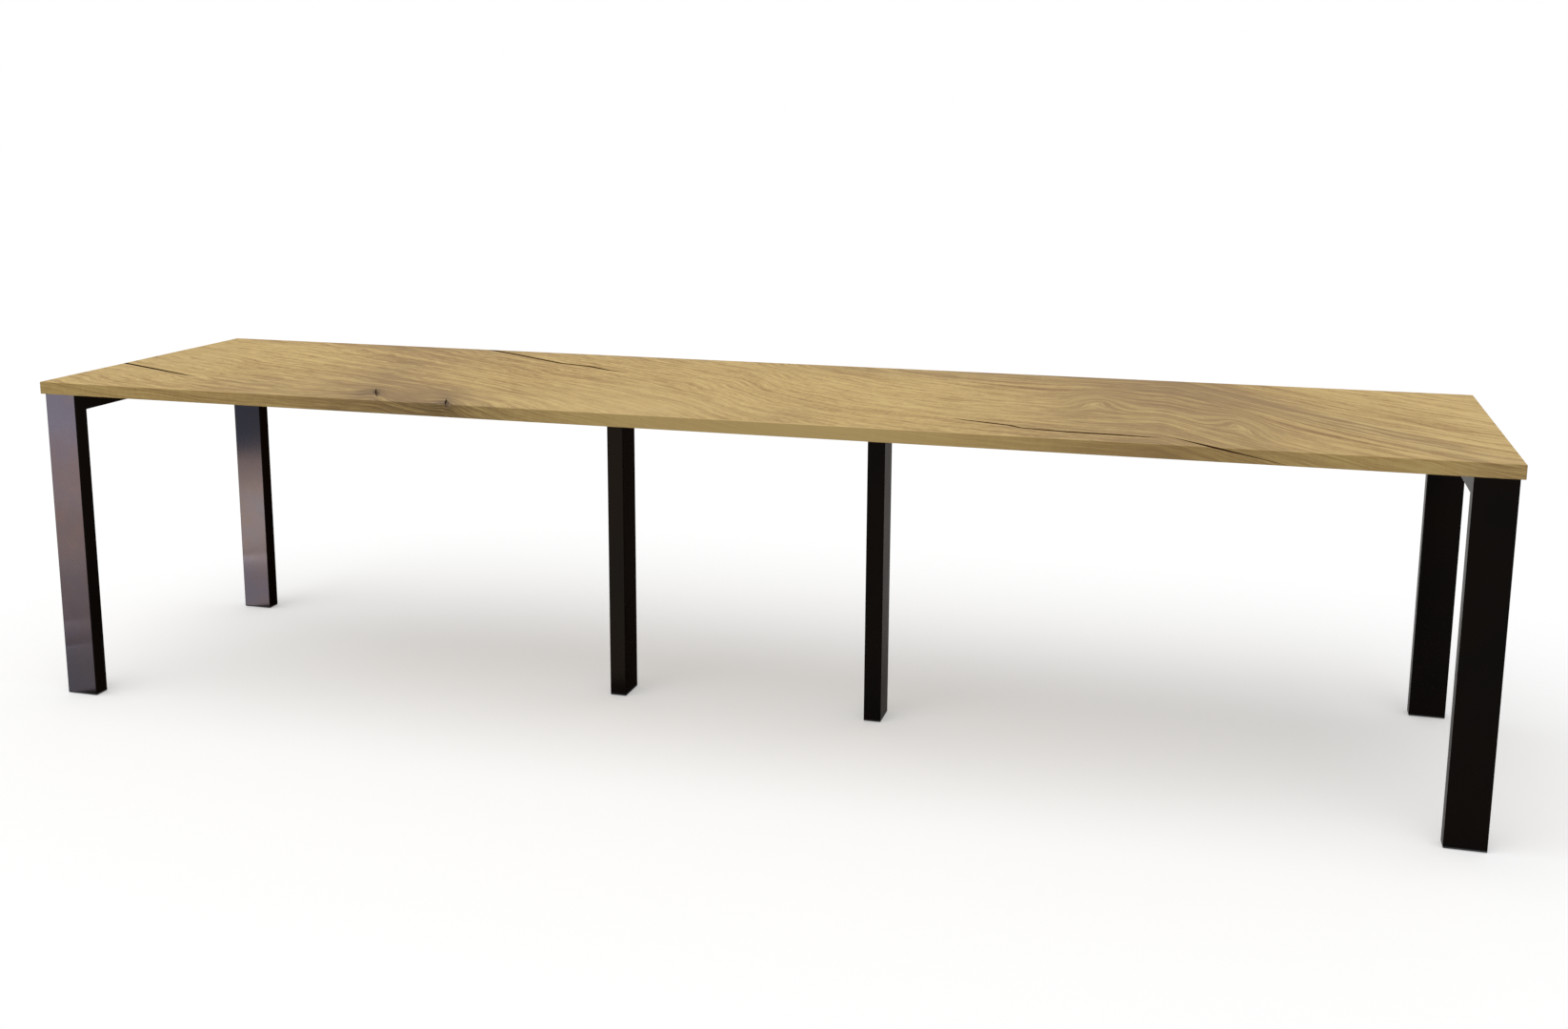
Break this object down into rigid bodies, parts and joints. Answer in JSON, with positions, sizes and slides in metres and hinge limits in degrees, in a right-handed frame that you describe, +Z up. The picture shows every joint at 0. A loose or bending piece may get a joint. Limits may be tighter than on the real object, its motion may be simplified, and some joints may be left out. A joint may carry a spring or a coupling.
{
  "type": "refectory table",
  "caption": "Long rectangular dining table: a solid oak slab with dark filled cracks on welded U-frames of flat dark steel tube, with levelling feet inside the legs.",
  "frame": {"origin": "on the floor under the centre of the table", "axes": "+X along the table to the right as seen from its front, +Y to its back, +Z up"},
  "size_m": [3.2, 0.8, 0.76],
  "materials": {
    "oak": "brushed and oiled wild oak",
    "resin": "dark filling, rubbed back dull with the oak",
    "knot": "dark knot wood with filling in it",
    "frame_steel": "blackened and waxed, satin",
    "channel_steel": "matt black powder coat",
    "zinc_steel": "bright zinc plate",
    "brass": "machined",
    "black_plastic": "fine moulded grain",
    "nylon": "smooth nylon"
  },
  "bodies": {
    "table": {"oak_top": "oak", "crack_filling": "resin", "knot_filling": "knot", "stiffener_1": "channel_steel", "stiffener_2": "channel_steel", "stiffener_3": "channel_steel", "stiffener_4": "channel_steel", "stiffener_screws": "zinc_steel", "threaded_inserts": "zinc_steel", "frame_washers": "zinc_steel", "frame_bolts": "zinc_steel", "access_hole_caps": "black_plastic", "thread_bushes": "brass", "left_crossbar": "frame_steel", "centre_bar": "frame_steel", "right_crossbar": "frame_steel", "left_front_leg": "frame_steel", "left_front_end_cap": "black_plastic", "left_rear_leg": "frame_steel", "left_rear_end_cap": "black_plastic", "centre_left_leg": "frame_steel", "centre_left_end_cap": "black_plastic", "centre_right_leg": "frame_steel", "centre_right_end_cap": "black_plastic", "right_front_leg": "frame_steel", "right_front_end_cap": "black_plastic", "right_rear_leg": "frame_steel", "right_rear_end_cap": "black_plastic"},
    "left_front_glide": {"left_front_glide": "nylon"},
    "left_front_levelling_screw": {"left_front_levelling_screw": "zinc_steel"},
    "left_rear_glide": {"left_rear_glide": "nylon"},
    "left_rear_levelling_screw": {"left_rear_levelling_screw": "zinc_steel"},
    "centre_left_glide": {"centre_left_glide": "nylon"},
    "centre_left_levelling_screw": {"centre_left_levelling_screw": "zinc_steel"},
    "centre_right_glide": {"centre_right_glide": "nylon"},
    "centre_right_levelling_screw": {"centre_right_levelling_screw": "zinc_steel"},
    "right_front_glide": {"right_front_glide": "nylon"},
    "right_front_levelling_screw": {"right_front_levelling_screw": "zinc_steel"},
    "right_rear_glide": {"right_rear_glide": "nylon"},
    "right_rear_levelling_screw": {"right_rear_levelling_screw": "zinc_steel"}
  },
  "joints": [
    {"name": "left_front_glide_travel", "type": "slide", "parent": "table", "child": "left_front_glide", "axis": [0, 0, -1], "range_m": [0, 0.01]},
    {"name": "left_front_screw_turn", "type": "hinge", "parent": "left_front_glide", "child": "left_front_levelling_screw", "pos_m": [-1.552, -0.374, 0.02], "axis": [0, 0, -1], "range_deg": [0, 2880]},
    {"name": "left_rear_glide_travel", "type": "slide", "parent": "table", "child": "left_rear_glide", "axis": [0, 0, -1], "range_m": [0, 0.01]},
    {"name": "left_rear_screw_turn", "type": "hinge", "parent": "left_rear_glide", "child": "left_rear_levelling_screw", "pos_m": [-1.552, 0.374, 0.02], "axis": [0, 0, -1], "range_deg": [0, 2880]},
    {"name": "centre_left_glide_travel", "type": "slide", "parent": "table", "child": "centre_left_glide", "axis": [0, 0, -1], "range_m": [0, 0.01]},
    {"name": "centre_left_screw_turn", "type": "hinge", "parent": "centre_left_glide", "child": "centre_left_levelling_screw", "pos_m": [-0.3125, 0, 0.02], "axis": [0, 0, -1], "range_deg": [0, 2880]},
    {"name": "centre_right_glide_travel", "type": "slide", "parent": "table", "child": "centre_right_glide", "axis": [0, 0, -1], "range_m": [0, 0.01]},
    {"name": "centre_right_screw_turn", "type": "hinge", "parent": "centre_right_glide", "child": "centre_right_levelling_screw", "pos_m": [0.3125, 0, 0.02], "axis": [0, 0, -1], "range_deg": [0, 2880]},
    {"name": "right_front_glide_travel", "type": "slide", "parent": "table", "child": "right_front_glide", "axis": [0, 0, -1], "range_m": [0, 0.01]},
    {"name": "right_front_screw_turn", "type": "hinge", "parent": "right_front_glide", "child": "right_front_levelling_screw", "pos_m": [1.552, -0.374, 0.02], "axis": [0, 0, -1], "range_deg": [0, 2880]},
    {"name": "right_rear_glide_travel", "type": "slide", "parent": "table", "child": "right_rear_glide", "axis": [0, 0, -1], "range_m": [0, 0.01]},
    {"name": "right_rear_screw_turn", "type": "hinge", "parent": "right_rear_glide", "child": "right_rear_levelling_screw", "pos_m": [1.552, 0.374, 0.02], "axis": [0, 0, -1], "range_deg": [0, 2880]}
  ],
  "couplings": [
    {"joint": "left_front_screw_turn", "follows": "left_front_glide_travel", "rad_per_m": 5026.5},
    {"joint": "left_rear_screw_turn", "follows": "left_rear_glide_travel", "rad_per_m": 5026.5},
    {"joint": "centre_left_screw_turn", "follows": "centre_left_glide_travel", "rad_per_m": 5026.5},
    {"joint": "centre_right_screw_turn", "follows": "centre_right_glide_travel", "rad_per_m": 5026.5},
    {"joint": "right_front_screw_turn", "follows": "right_front_glide_travel", "rad_per_m": 5026.5},
    {"joint": "right_rear_screw_turn", "follows": "right_rear_glide_travel", "rad_per_m": 5026.5}
  ]
}
